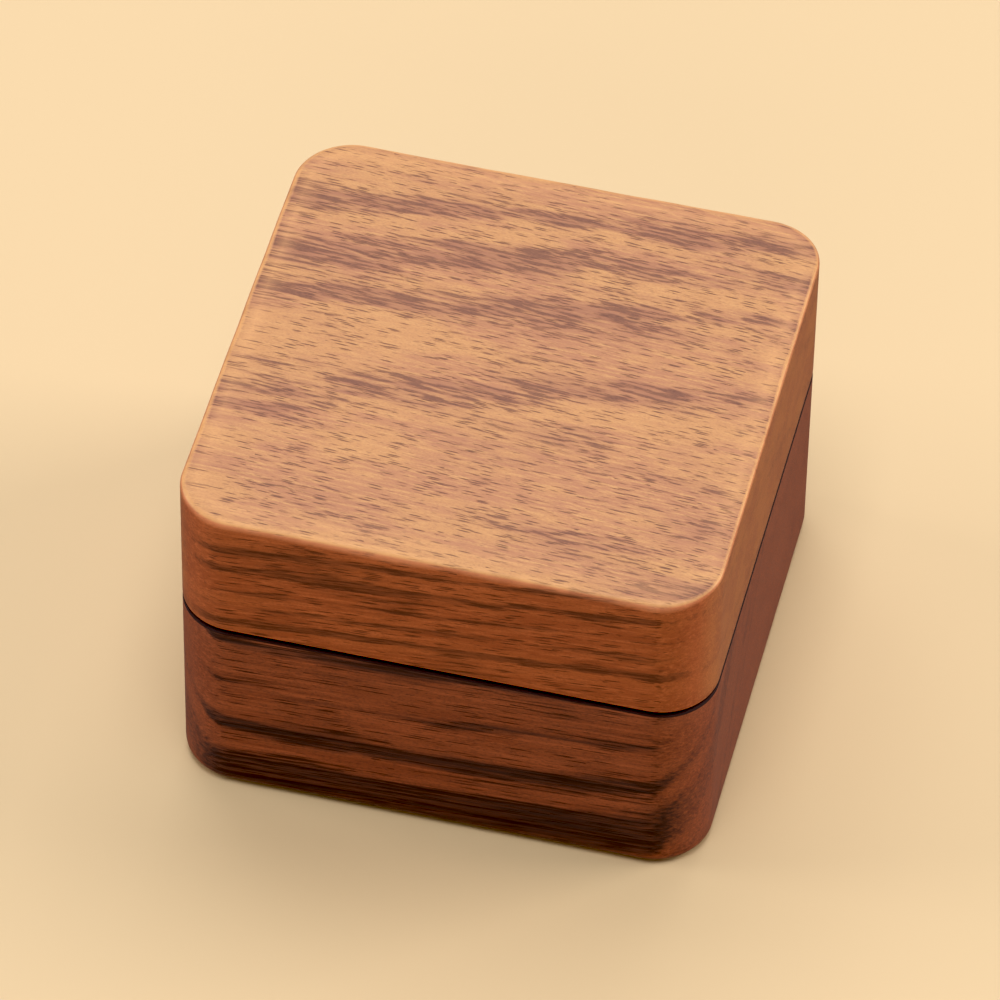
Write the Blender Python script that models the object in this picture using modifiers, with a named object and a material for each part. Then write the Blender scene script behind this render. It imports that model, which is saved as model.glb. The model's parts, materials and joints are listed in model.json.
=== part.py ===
"""A square walnut ring box: a milled base and lid, a brass butt hinge let into the back of the seam,
two pairs of disc magnets that hold the lid shut, a velvet ring pad of two rolls in the base, and a
velvet pad in the lid.

+X runs along the front face and the wood's grain, +Y points to the hinge, and +Z is up. The origin is
the centre of the base's underside. The lid is shut.
"""

import math

import bmesh
import bpy
from mathutils import Matrix, Vector

MM = 0.001

# Outside of the box
BOX_WIDTH = 55.0 * MM
BOX_DEPTH = 55.0 * MM
BASE_HEIGHT = 22.8 * MM
LID_HEIGHT = 16.0 * MM
SEAM_GAP = 0.3 * MM
CORNER_RADIUS = 6.0 * MM
LID_TOP_ROUND = 0.9 * MM
LID_RIM_ROUND = 0.25 * MM
BASE_RIM_ROUND = 0.45 * MM
BASE_BOTTOM_ROUND = 1.5 * MM

# The pockets milled into the base and the lid
WALL = 5.0 * MM
BASE_FLOOR = 4.0 * MM
LID_ROOF = 4.0 * MM
POCKET_RADIUS = 5.5 * MM
POCKET_FLOOR_ROUND = 0.8 * MM
LIP_CHAMFER = 0.35 * MM

# Clearances
METAL_GAP = 0.15 * MM
LINING_GAP = 0.3 * MM
STACK_GAP = 0.2 * MM
CUT_MARGIN = 1.0 * MM

# The hinge
HINGE_LENGTH = 20.0 * MM
HINGE_AXIS_INSET = 0.25 * MM
LEAF_REACH = 4.4 * MM
LEAF_THICKNESS = 0.8 * MM
KNUCKLE_DIAMETER = 2.5 * MM
KNUCKLE_GAP = 0.3 * MM
MIDDLE_KNUCKLE = 8.0 * MM
TAB_INSET = 0.1 * MM
PIN_DIAMETER = 1.3 * MM
PIN_CLEARANCE = 0.1 * MM
PIN_HEAD_LIP = 0.2 * MM
PIN_HEAD_LENGTH = 0.3 * MM
PIN_HEAD_ROUND = 0.15 * MM

# The hinge's countersunk screws
SCREW_LENGTH = 4.0 * MM
SCREW_DIAMETER = 1.1 * MM
SCREW_HEAD_DIAMETER = 1.9 * MM
SCREW_HEAD_HEIGHT = 0.5 * MM
SCREW_HEAD_EDGE = 0.1 * MM
SCREW_TIP = 0.9 * MM
SCREW_SLOT_WIDTH = 0.3 * MM
SCREW_SLOT_DEPTH = 0.25 * MM
SCREW_END_INSET = 3.0 * MM
SCREW_SINK = 0.05 * MM

# The magnets
MAGNET_DIAMETER = 4.0 * MM
MAGNET_HEIGHT = 2.0 * MM
MAGNET_SINK = 0.1 * MM
MAGNET_EDGE_ROUND = 0.2 * MM

# The linings
BOARD_THICKNESS = 1.0 * MM
VELVET_THICKNESS = 0.6 * MM
ROLL_HEIGHT = 11.4 * MM
ROLL_ROUND = 3.0 * MM
ROLL_SLOT_RADIUS = 3.4 * MM
RING_SLOT = 0.8 * MM
LID_PAD_HEIGHT = 2.0 * MM
LID_PAD_ROUND = 0.9 * MM

# How finely round shapes are drawn
CORNER_SEGMENTS = 8
ROUND_SEGMENTS = 2
SOFT_CORNER_SEGMENTS = 5
SOFT_ROUND_SEGMENTS = 3
MAGNET_SIDES = 20
SCREW_SIDES = 12
HINGE_SIDES = 24
SHARP_ANGLE = math.radians(35)
WELD_DISTANCE = 0.01 * MM
LEVEL_TOLERANCE = 0.0001 * MM

# Sizes that follow from the ones above
LID_BOTTOM = BASE_HEIGHT + SEAM_GAP
BOX_HEIGHT = LID_BOTTOM + LID_HEIGHT
POCKET_WIDTH = BOX_WIDTH - 2 * WALL
POCKET_DEPTH = BOX_DEPTH - 2 * WALL
LINING_WIDTH = POCKET_WIDTH - 2 * LINING_GAP
LINING_DEPTH = POCKET_DEPTH - 2 * LINING_GAP
LINING_RADIUS = POCKET_RADIUS - LINING_GAP
HINGE_Y = BOX_DEPTH / 2 - HINGE_AXIS_INSET
HINGE_Z = BASE_HEIGHT + SEAM_GAP / 2
KNUCKLE_RADIUS = KNUCKLE_DIAMETER / 2
PIN_END = HINGE_LENGTH / 2 + METAL_GAP + PIN_HEAD_LENGTH
PLATE_INNER_Y = HINGE_Y - LEAF_REACH
PLATE_OUTER_Y = HINGE_Y - KNUCKLE_RADIUS - KNUCKLE_GAP
SCREW_X = HINGE_LENGTH / 2 - SCREW_END_INSET
SCREW_Y = (PLATE_INNER_Y + PLATE_OUTER_Y) / 2


def clear_scene():
    for obj in list(bpy.data.objects):
        bpy.data.objects.remove(obj)


def new_collection(name):
    collection = bpy.data.collections.new(name)
    bpy.context.scene.collection.children.link(collection)
    return collection


def new_material(name, color, roughness, metallic=0.0):
    material = bpy.data.materials.new(name)
    material.use_nodes = True
    shader = material.node_tree.nodes["Principled BSDF"]
    shader.inputs["Base Color"].default_value = (*color, 1.0)
    shader.inputs["Roughness"].default_value = roughness
    shader.inputs["Metallic"].default_value = metallic
    return material


def add_object(name, mesh, collection, material=None):
    obj = bpy.data.objects.new(name, mesh)
    collection.objects.link(obj)
    if material:
        mesh.materials.clear()
        mesh.materials.append(material)
    return obj


def rim_edges(bm, z):
    return [e for e in bm.edges if all(abs(v.co.z - z) < LEVEL_TOLERANCE for v in e.verts)]


def bevel(bm, edges, radius, segments):
    if radius > 0:
        bmesh.ops.bevel(
            bm, geom=edges, offset=radius, offset_type="OFFSET",
            segments=segments, profile=0.5, affect="EDGES",
        )


def block_bmesh(width, depth, low, high, front_radius, back_radius, top_round, bottom_round, soft):
    """A box about the Z axis from low to high, with round upright corners and rounded rims."""
    corner_segments = SOFT_CORNER_SEGMENTS if soft else CORNER_SEGMENTS
    segments = SOFT_ROUND_SEGMENTS if soft else ROUND_SEGMENTS
    bm = bmesh.new()
    bmesh.ops.create_cube(bm, size=1.0)
    bmesh.ops.scale(bm, vec=(width, depth, high - low), verts=bm.verts)
    bmesh.ops.translate(bm, vec=(0, 0, (low + high) / 2), verts=bm.verts)
    upright = [e for e in bm.edges if abs(e.verts[0].co.z - e.verts[1].co.z) > (high - low) / 2]
    front = [e for e in upright if e.verts[0].co.y < 0]
    back = [e for e in upright if e.verts[0].co.y > 0]
    bevel(bm, front, front_radius, corner_segments)
    bevel(bm, back, back_radius, corner_segments)
    bevel(bm, rim_edges(bm, high), top_round, segments)
    bevel(bm, rim_edges(bm, low), bottom_round, segments)
    return bm


def mesh_from(bm, name):
    bmesh.ops.recalc_face_normals(bm, faces=bm.faces)
    mesh = bpy.data.meshes.new(name)
    bm.to_mesh(mesh)
    bm.free()
    mesh.shade_smooth()
    mesh.set_sharp_from_angle(angle=SHARP_ANGLE)
    return mesh


def block(name, collection, width, depth, low, high, radius, top_round=0.0, bottom_round=0.0,
          back_radius=None, soft=False, material=None, centre_y=0.0):
    back_radius = radius if back_radius is None else back_radius
    bm = block_bmesh(width, depth, low, high, radius, back_radius, top_round, bottom_round, soft)
    obj = add_object(name, mesh_from(bm, name), collection, material)
    obj.location.y = centre_y
    return obj


def box(name, collection, low, high, material=None):
    """A plain box between two corners, with its origin at zero."""
    bm = bmesh.new()
    bmesh.ops.create_cube(bm, size=1.0)
    bmesh.ops.scale(bm, vec=Vector(high) - Vector(low), verts=bm.verts)
    bmesh.ops.translate(bm, vec=(Vector(low) + Vector(high)) / 2, verts=bm.verts)
    return add_object(name, mesh_from(bm, name), collection, material)


def cylinder(name, collection, start, end, radius, sides, material=None):
    """A round bar from one point to another."""
    along = Vector(end) - Vector(start)
    bm = bmesh.new()
    bmesh.ops.create_cone(
        bm, cap_ends=True, segments=sides, radius1=radius, radius2=radius, depth=along.length
    )
    turn = Vector((0, 0, 1)).rotation_difference(along).to_matrix()
    bmesh.ops.rotate(bm, cent=(0, 0, 0), matrix=turn, verts=bm.verts)
    obj = add_object(name, mesh_from(bm, name), collection, material)
    obj.location = (Vector(start) + Vector(end)) / 2
    return obj


def hinge_rod(name, collection, x_low, x_high, radius):
    """A round bar about the hinge's axis."""
    start = (x_low, HINGE_Y, HINGE_Z)
    end = (x_high, HINGE_Y, HINGE_Z)
    return cylinder(name, collection, start, end, radius, HINGE_SIDES)


def turned(name, collection, profile, sides, material=None):
    """A solid of revolution about Z. The profile runs from the top of the axis down to its foot."""
    mesh = bpy.data.meshes.new(name)
    edges = [(i, i + 1) for i in range(len(profile) - 1)]
    mesh.from_pydata([(r, 0, z) for r, z in profile], edges, [])
    obj = add_object(name, mesh, collection, material)
    screw = obj.modifiers.new("turn", "SCREW")
    screw.steps = sides
    screw.render_steps = sides
    screw.use_merge_vertices = True
    screw.merge_threshold = WELD_DISTANCE
    screw.use_smooth_shade = False
    return obj


def combine(obj, other, operation="DIFFERENCE"):
    modifier = obj.modifiers.new(f"{operation.lower()}_{other.name}", "BOOLEAN")
    modifier.operation = operation
    modifier.solver = "EXACT"
    modifier.object = other


def hang_on_hinge(collection, pieces):
    """The lid's pieces turn with an empty whose X axis is the hinge's."""
    hinge = bpy.data.objects.new("lid_hinge", None)
    hinge.empty_display_size = KNUCKLE_DIAMETER
    hinge.location = (0, HINGE_Y, HINGE_Z)
    collection.objects.link(hinge)
    for obj in pieces:
        obj.parent = hinge
        obj.matrix_parent_inverse = Matrix.Translation(hinge.location).inverted()


def hide_helpers(collection):
    for obj in collection.objects:
        obj.hide_render = True
        obj.display_type = "WIRE"


def magnet_centre():
    """How far a magnet is across and forward: halfway through a front corner's wood, on its diagonal."""
    outer = CORNER_RADIUS * (1 - math.sqrt(0.5))
    inner = WALL + POCKET_RADIUS * (1 - math.sqrt(0.5))
    inset = (outer + inner) / 2
    return BOX_WIDTH / 2 - inset, BOX_DEPTH / 2 - inset


def pocket_cutter(name, helpers, low, high, floor_is_low):
    """The router's path: a rounded block with a small round where its end meets the floor."""
    floor_low = POCKET_FLOOR_ROUND if floor_is_low else 0.0
    floor_high = 0.0 if floor_is_low else POCKET_FLOOR_ROUND
    return block(
        name, helpers, POCKET_WIDTH, POCKET_DEPTH, low, high, POCKET_RADIUS,
        top_round=floor_high, bottom_round=floor_low,
    )


def lip_cutter(name, helpers, rim_z, into_wood):
    """A flare at 45 degrees that eases the pocket's sharp lip, LIP_CHAMFER wide at the rim.

    into_wood is -1 for the base, whose wood is under the rim, and 1 for the lid. The flare starts
    LIP_CHAMFER inside the pocket's wall and ends twice that outside it, above the rim.
    """
    bm = bmesh.new()
    bmesh.ops.create_cube(bm, size=1.0)
    bmesh.ops.scale(bm, vec=(POCKET_WIDTH, POCKET_DEPTH, 3 * LIP_CHAMFER), verts=bm.verts)
    upright = [e for e in bm.edges if abs(e.verts[0].co.z - e.verts[1].co.z) > LIP_CHAMFER]
    bevel(bm, upright, POCKET_RADIUS, CORNER_SEGMENTS)
    for vert in bm.verts:
        grow = -LIP_CHAMFER if vert.co.z * into_wood > 0 else 2 * LIP_CHAMFER
        vert.co.x += grow * math.copysign(1.0, vert.co.x)
        vert.co.y += grow * math.copysign(1.0, vert.co.y)
    obj = add_object(name, mesh_from(bm, name), helpers)
    obj.location.z = rim_z + into_wood * LIP_CHAMFER / 2
    return obj


def leaf_mortise(name, helpers, z_low, z_high):
    half = HINGE_LENGTH / 2 + METAL_GAP
    return box(
        name, helpers,
        (-half, POCKET_DEPTH / 2 - CUT_MARGIN, z_low), (half, HINGE_Y, z_high),
    )


def knuckle_cove(name, helpers):
    half = PIN_END + METAL_GAP
    return hinge_rod(name, helpers, -half, half, KNUCKLE_RADIUS + KNUCKLE_GAP)


def screw_profile(top, grow=0.0):
    """A countersunk screw that points down from the rim at z = 0. grow widens it all round, for its hole."""
    head = SCREW_HEAD_DIAMETER / 2 + grow
    shank = SCREW_DIAMETER / 2 + grow
    tip = -SCREW_LENGTH - grow
    return [
        (0, top), (head, top), (head, -SCREW_SINK - SCREW_HEAD_EDGE),
        (shank, -SCREW_HEAD_HEIGHT - grow), (shank, tip + SCREW_TIP), (0, tip),
    ]


def screw_places():
    return {"left": (-SCREW_X, SCREW_Y), "right": (SCREW_X, SCREW_Y)}


def place_screw(obj, place, upper):
    """Lower screws point down from the base's rim, and upper ones point up from the lid's."""
    obj.location = (*place, LID_BOTTOM if upper else BASE_HEIGHT)
    obj.rotation_euler.x = math.pi if upper else 0.0


def screw_hole(name, helpers, place, upper):
    hole = turned(name, helpers, screw_profile(CUT_MARGIN, METAL_GAP), SCREW_SIDES)
    place_screw(hole, place, upper)
    return hole


def build_magnet(name, parts, helpers, nickel, shell, x, y, low, hole_low, hole_high):
    """One disc magnet, and the blind hole that it is glued into."""
    radius = MAGNET_DIAMETER / 2
    edge = MAGNET_EDGE_ROUND
    profile = [
        (0, MAGNET_HEIGHT), (radius - edge, MAGNET_HEIGHT), (radius, MAGNET_HEIGHT - edge),
        (radius, edge), (radius - edge, 0), (0, 0),
    ]
    magnet = turned(name, parts, profile, MAGNET_SIDES, nickel)
    magnet.location = (x, y, low)
    hole = cylinder(
        f"{name}_hole", helpers, (x, y, hole_low), (x, y, hole_high), radius + METAL_GAP, MAGNET_SIDES
    )
    combine(shell, hole)


def build_magnets(parts, helpers, nickel, base, lid):
    across, forward = magnet_centre()
    base_low = BASE_HEIGHT - MAGNET_SINK - MAGNET_HEIGHT
    lid_low = LID_BOTTOM + MAGNET_SINK
    for side, x in (("left", -across), ("right", across)):
        build_magnet(
            f"base_magnet_{side}", parts, helpers, nickel, base, x, -forward,
            base_low, base_low - METAL_GAP, BASE_HEIGHT + CUT_MARGIN,
        )
        build_magnet(
            f"lid_magnet_{side}", parts, helpers, nickel, lid, x, -forward,
            lid_low, LID_BOTTOM - CUT_MARGIN, lid_low + MAGNET_HEIGHT + METAL_GAP,
        )


def knuckle_spans():
    """X spans of the lower leaf's two end knuckles and of the upper leaf's middle one."""
    middle = MIDDLE_KNUCKLE / 2
    inner = middle + KNUCKLE_GAP
    outer = HINGE_LENGTH / 2
    return [(-outer, -inner), (inner, outer)], [(-middle, middle)]


def leaf_outline(spans):
    """The leaf's flat outline, with a tab running to the hinge's axis at each knuckle."""
    half = HINGE_LENGTH / 2
    outline = [(half, PLATE_INNER_Y), (half, PLATE_OUTER_Y)]
    for low, high in reversed(spans):
        outline += [
            (high - TAB_INSET, PLATE_OUTER_Y), (high - TAB_INSET, HINGE_Y),
            (low + TAB_INSET, HINGE_Y), (low + TAB_INSET, PLATE_OUTER_Y),
        ]
    return outline + [(-half, PLATE_OUTER_Y), (-half, PLATE_INNER_Y)]


def flat_plate(name, collection, outline, thickness, material):
    """A plate cut to an outline, made from a filled curve."""
    curve = bpy.data.curves.new(name, "CURVE")
    curve.dimensions = "2D"
    curve.fill_mode = "BOTH"
    curve.extrude = thickness / 2
    spline = curve.splines.new("POLY")
    spline.points.add(len(outline) - 1)
    for point, (x, y) in zip(spline.points, outline):
        point.co = (x, y, 0, 1)
    spline.use_cyclic_u = True
    drawn = bpy.data.objects.new(name + "_outline", curve)
    collection.objects.link(drawn)
    graph = bpy.context.evaluated_depsgraph_get()
    mesh = bpy.data.meshes.new_from_object(drawn.evaluated_get(graph))
    bpy.data.objects.remove(drawn)
    bm = bmesh.new()
    bm.from_mesh(mesh)
    bmesh.ops.remove_doubles(bm, verts=bm.verts, dist=WELD_DISTANCE)
    bmesh.ops.recalc_face_normals(bm, faces=bm.faces)
    bm.to_mesh(mesh)
    bm.free()
    return add_object(name, mesh, collection, material)


def build_leaf(name, parts, helpers, spans, z_low, upper, brass):
    leaf = flat_plate(name, parts, leaf_outline(spans), LEAF_THICKNESS, brass)
    leaf.location.z = z_low + LEAF_THICKNESS / 2
    for i, (low, high) in enumerate(spans):
        combine(leaf, hinge_rod(f"{name}_knuckle_{i}", helpers, low, high, KNUCKLE_RADIUS), "UNION")
    reach = HINGE_LENGTH / 2 + CUT_MARGIN
    combine(leaf, hinge_rod(f"{name}_bore", helpers, -reach, reach, PIN_DIAMETER / 2 + PIN_CLEARANCE))
    for side, place in screw_places().items():
        combine(leaf, screw_hole(f"{name}_hole_{side}", helpers, place, upper))


def build_pin(parts, brass):
    """The pin runs through all the knuckles and is peened over into a low head at each end."""
    shaft = PIN_DIAMETER / 2
    head = shaft + PIN_HEAD_LIP
    neck = PIN_END - PIN_HEAD_LENGTH
    edge = PIN_HEAD_ROUND
    upper = [(0, PIN_END), (head - edge, PIN_END), (head, PIN_END - edge), (head, neck), (shaft, neck)]
    lower = [(r, -z) for r, z in reversed(upper)]
    pin = turned("hinge_pin", parts, upper + lower, HINGE_SIDES, brass)
    pin.rotation_euler.y = math.pi / 2
    pin.location = (0, HINGE_Y, HINGE_Z)


def build_screw(name, parts, helpers, place, upper, brass):
    """A countersunk screw with a straight slot across its head."""
    screw = turned(name, parts, screw_profile(-SCREW_SINK), SCREW_SIDES, brass)
    place_screw(screw, place, upper)
    depth = SCREW_SINK + SCREW_SLOT_DEPTH
    slot = box(
        f"{name}_slot", helpers,
        (-SCREW_HEAD_DIAMETER, -SCREW_SLOT_WIDTH / 2, -depth),
        (SCREW_HEAD_DIAMETER, SCREW_SLOT_WIDTH / 2, depth),
    )
    place_screw(slot, place, upper)
    combine(screw, slot)


def build_hinge(parts, helpers, brass, base, lid):
    lower_spans, upper_spans = knuckle_spans()
    for shell, level, spans, upper, z_low in (
        (base, "lower", lower_spans, False, BASE_HEIGHT - LEAF_THICKNESS),
        (lid, "upper", upper_spans, True, LID_BOTTOM),
    ):
        bed_low = z_low - (CUT_MARGIN if upper else METAL_GAP)
        bed_high = z_low + LEAF_THICKNESS + (METAL_GAP if upper else CUT_MARGIN)
        combine(shell, leaf_mortise(f"{shell.name}_mortise", helpers, bed_low, bed_high))
        combine(shell, knuckle_cove(f"{shell.name}_cove", helpers))
        build_leaf(f"hinge_leaf_{level}", parts, helpers, spans, z_low, upper, brass)
        for side, place in screw_places().items():
            build_screw(f"hinge_screw_{level}_{side}", parts, helpers, place, upper, brass)
            combine(shell, screw_hole(f"{shell.name}_pilot_{side}", helpers, place, upper))
    build_pin(parts, brass)


def open_shell(obj, open_at_top):
    """Takes one end face off a block and gives what is left the velvet's thickness, inwards."""
    bm = bmesh.new()
    bm.from_mesh(obj.data)
    level = max(v.co.z for v in bm.verts) if open_at_top else min(v.co.z for v in bm.verts)
    ends = [f for f in bm.faces if all(abs(v.co.z - level) < LEVEL_TOLERANCE for v in f.verts)]
    bmesh.ops.delete(bm, geom=ends, context="FACES")
    bm.to_mesh(obj.data)
    bm.free()
    thick = obj.modifiers.new("thickness", "SOLIDIFY")
    thick.thickness = VELVET_THICKNESS
    thick.offset = -1.0
    thick.use_even_offset = True


def build_roll(place, side, low, parts, velvet, foam):
    """One half of the ring pad: a foam core under a velvet wrap that is open underneath."""
    depth = (LINING_DEPTH - RING_SLOT) / 2
    centre_y = side * (RING_SLOT + depth) / 2
    outer, slot_side = LINING_RADIUS, ROLL_SLOT_RADIUS
    front, back = (outer, slot_side) if side < 0 else (slot_side, outer)
    high = low + ROLL_HEIGHT
    wrap = block(
        f"ring_pad_velvet_{place}", parts, LINING_WIDTH, depth, low, high, front,
        top_round=ROLL_ROUND, back_radius=back, soft=True, material=velvet, centre_y=centre_y,
    )
    open_shell(wrap, open_at_top=False)
    inset = VELVET_THICKNESS + STACK_GAP
    block(
        f"ring_pad_foam_{place}", parts, LINING_WIDTH - 2 * inset, depth - 2 * inset, low, high - inset,
        front - inset, top_round=ROLL_ROUND - inset, back_radius=back - inset, soft=True,
        material=foam, centre_y=centre_y,
    )


def build_ring_pad(parts, velvet, foam, card):
    board_low = BASE_FLOOR + STACK_GAP
    block(
        "ring_pad_board", parts, LINING_WIDTH, LINING_DEPTH, board_low, board_low + BOARD_THICKNESS,
        LINING_RADIUS, bottom_round=POCKET_FLOOR_ROUND, soft=True, material=card,
    )
    rolls_low = board_low + BOARD_THICKNESS + STACK_GAP
    build_roll("front", -1, rolls_low, parts, velvet, foam)
    build_roll("rear", 1, rolls_low, parts, velvet, foam)


def build_lid_pad(parts, velvet, foam, card):
    board_high = BOX_HEIGHT - LID_ROOF - STACK_GAP
    board_low = board_high - BOARD_THICKNESS
    block(
        "lid_pad_board", parts, LINING_WIDTH, LINING_DEPTH, board_low, board_high,
        LINING_RADIUS, top_round=POCKET_FLOOR_ROUND, soft=True, material=card,
    )
    high = board_low - STACK_GAP
    low = high - LID_PAD_HEIGHT
    skin = block(
        "lid_pad_velvet", parts, LINING_WIDTH, LINING_DEPTH, low, high, LINING_RADIUS,
        bottom_round=LID_PAD_ROUND, soft=True, material=velvet,
    )
    open_shell(skin, open_at_top=True)
    inset = VELVET_THICKNESS + STACK_GAP
    block(
        "lid_pad_foam", parts, LINING_WIDTH - 2 * inset, LINING_DEPTH - 2 * inset, low + inset, high,
        LINING_RADIUS - inset, soft=True, material=foam,
    )


def build_base(parts, helpers, walnut):
    base = block(
        "base", parts, BOX_WIDTH, BOX_DEPTH, 0.0, BASE_HEIGHT, CORNER_RADIUS,
        top_round=BASE_RIM_ROUND, bottom_round=BASE_BOTTOM_ROUND, material=walnut,
    )
    combine(base, pocket_cutter("base_pocket", helpers, BASE_FLOOR, BASE_HEIGHT + CUT_MARGIN, True))
    combine(base, lip_cutter("base_lip", helpers, BASE_HEIGHT, -1))
    return base


def build_lid(parts, helpers, walnut):
    lid = block(
        "lid", parts, BOX_WIDTH, BOX_DEPTH, LID_BOTTOM, BOX_HEIGHT, CORNER_RADIUS,
        top_round=LID_TOP_ROUND, bottom_round=LID_RIM_ROUND, material=walnut,
    )
    combine(lid, pocket_cutter("lid_pocket", helpers, LID_BOTTOM - CUT_MARGIN, BOX_HEIGHT - LID_ROOF, False))
    combine(lid, lip_cutter("lid_lip", helpers, LID_BOTTOM, 1))
    return lid


def main():
    clear_scene()
    parts = new_collection("ring_box")
    helpers = new_collection("cutters")
    dark_walnut = new_material("walnut_base", (0.11, 0.032, 0.013), 0.5)
    light_walnut = new_material("walnut_lid", (0.33, 0.13, 0.06), 0.5)
    brass = new_material("brass", (0.78, 0.57, 0.25), 0.3, 1.0)
    nickel = new_material("nickel_plate", (0.72, 0.71, 0.69), 0.25, 1.0)
    velvet = new_material("velvet", (0.85, 0.79, 0.68), 0.95)
    foam = new_material("foam", (0.9, 0.88, 0.82), 0.95)
    card = new_material("grey_board", (0.45, 0.43, 0.4), 0.9)

    base = build_base(parts, helpers, dark_walnut)
    lid = build_lid(parts, helpers, light_walnut)
    build_magnets(parts, helpers, nickel, base, lid)
    build_hinge(parts, helpers, brass, base, lid)
    build_ring_pad(parts, velvet, foam, card)
    build_lid_pad(parts, velvet, foam, card)
    on_lid = ("lid", "hinge_leaf_upper", "hinge_screw_upper")
    hang_on_hinge(parts, [obj for obj in parts.objects if obj.name.startswith(on_lid)])
    hide_helpers(helpers)


main()
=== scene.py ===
"""The looks of a square walnut ring box: solid walnut shells, a brass hinge, nickel magnets and velvet pads.

Lengths are in millimetres until a mesh is made. The box lies as in its frame: +X along the grain, +Y to
the hinge, +Z up.
"""

import json
import math

import bpy
from mathutils import Matrix, Vector, bvhtree, noise


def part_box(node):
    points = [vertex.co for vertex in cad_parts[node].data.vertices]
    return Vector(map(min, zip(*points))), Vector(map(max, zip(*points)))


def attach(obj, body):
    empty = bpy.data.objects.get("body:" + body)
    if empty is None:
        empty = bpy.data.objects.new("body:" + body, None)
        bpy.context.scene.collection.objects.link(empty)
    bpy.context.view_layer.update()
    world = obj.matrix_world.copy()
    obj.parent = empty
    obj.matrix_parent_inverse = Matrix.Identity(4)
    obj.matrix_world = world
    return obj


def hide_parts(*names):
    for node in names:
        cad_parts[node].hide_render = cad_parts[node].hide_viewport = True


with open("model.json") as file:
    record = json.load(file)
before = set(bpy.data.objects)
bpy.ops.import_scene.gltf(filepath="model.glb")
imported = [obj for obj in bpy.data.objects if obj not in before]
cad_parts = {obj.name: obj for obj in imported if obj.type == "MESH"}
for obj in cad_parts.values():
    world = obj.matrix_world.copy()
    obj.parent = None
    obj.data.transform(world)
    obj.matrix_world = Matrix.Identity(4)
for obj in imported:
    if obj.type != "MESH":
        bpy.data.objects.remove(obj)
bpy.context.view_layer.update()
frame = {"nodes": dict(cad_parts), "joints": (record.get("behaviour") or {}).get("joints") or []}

MM = 0.001

# Camera and stage
CAMERA_AZIMUTH = 13.09
CAMERA_ELEVATION = 46.94
CAMERA_ROLL = 1.07
CAMERA_DISTANCE = 802.6
CAMERA_TARGET = (0.0, 0.0, 16.5)
CAMERA_SHIFT = (-0.14, 2.06)
CAMERA_LENS = 282.8
CAMERA_NEAR = 10.0
FLOOR_SIZE = 6000.0
FLOOR_COLOR = (0.60, 0.49, 0.335)
FLOOR_ROUGHNESS = 0.9
FLOOR_SPECULAR = 0.1
WORLD_COLOR = (1.0, 0.9, 0.76)
WORLD_STRENGTH = 0.16
BLACK_LEVEL = 0.025

# Each lamp's azimuth and elevation, distance, width and height, watts and colour
LAMPS = {
    "key": (195, 56, 1500, 1300, 1200, 14.5, (1.0, 0.94, 0.86)),
    "overhead": (10, 78, 1400, 600, 600, 10.0, (1.0, 0.94, 0.86)),
    "right_fill": (113, 30, 1500, 700, 700, 13.5, (1.0, 0.88, 0.74)),
    "left_fill": (-86, 28, 1500, 700, 700, 9.0, (1.0, 0.88, 0.76)),
    "front_fill": (5, 24, 1500, 900, 700, 3.6, (1.0, 0.80, 0.60)),
}

# Wooden shells
CORNER_RADIUS = 6.0
WALL = 5.0
POCKET_RADIUS = 5.5
POCKET_FLOOR_ROUND = 0.8
LIP_CHAMFER = 0.35
BASE_FLOOR = 4.0
LID_ROOF = 4.0
SIDE_SEGMENTS = 40
CORNER_SEGMENTS = 16
ARC_SEGMENTS = 7


def corners(node):
    """A node's lowest and highest corners in millimetres."""
    low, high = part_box(node)
    return Vector(low) / MM, Vector(high) / MM


BASE_HIGH = corners("base")[1]
LID_LOW, LID_HIGH = corners("lid")
HALF = BASE_HIGH.x
SEAM = BASE_HIGH.z
RIM = LID_LOW.z
TOP = LID_HIGH.z


# ---------------------------------------------------------------- stage

def direction(azimuth, elevation):
    """The way from the box to a camera or lamp that stands there. Azimuth 0 is in front, 90 on the right."""
    a, e = math.radians(azimuth), math.radians(elevation)
    return Vector((math.sin(a) * math.cos(e), -math.cos(a) * math.cos(e), math.sin(e)))


def facing(back, roll=0.0):
    """A rotation whose -Z looks along -back, with +Y up in the picture."""
    turn = back.to_track_quat("Z", "Y").to_matrix()
    return turn @ Matrix.Rotation(math.radians(roll), 3, "Z")


def build_camera():
    data = bpy.data.cameras.new("camera")
    data.lens = CAMERA_LENS
    data.clip_start = CAMERA_NEAR * MM
    camera = bpy.data.objects.new("camera", data)
    bpy.context.scene.collection.objects.link(camera)
    back = direction(CAMERA_AZIMUTH, CAMERA_ELEVATION)
    turn = facing(back, CAMERA_ROLL)
    right, up = turn.col[0], turn.col[1]
    aim = Vector(CAMERA_TARGET) + right * CAMERA_SHIFT[0] + up * CAMERA_SHIFT[1]
    camera.matrix_world = Matrix.Translation((aim + back * CAMERA_DISTANCE) * MM) @ turn.to_4x4()
    bpy.context.scene.camera = camera


def build_softbox(name, azimuth, elevation, distance, width, height, watts, color):
    data = bpy.data.lights.new(name, "AREA")
    data.shape = "RECTANGLE"
    data.size = width * MM
    data.size_y = height * MM
    data.energy = watts
    data.color = color
    lamp = bpy.data.objects.new(name, data)
    bpy.context.scene.collection.objects.link(lamp)
    back = direction(azimuth, elevation)
    lamp.matrix_world = Matrix.Translation(back * distance * MM) @ facing(back).to_4x4()


def build_lights():
    for name, lamp in LAMPS.items():
        build_softbox(name, *lamp)


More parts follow.
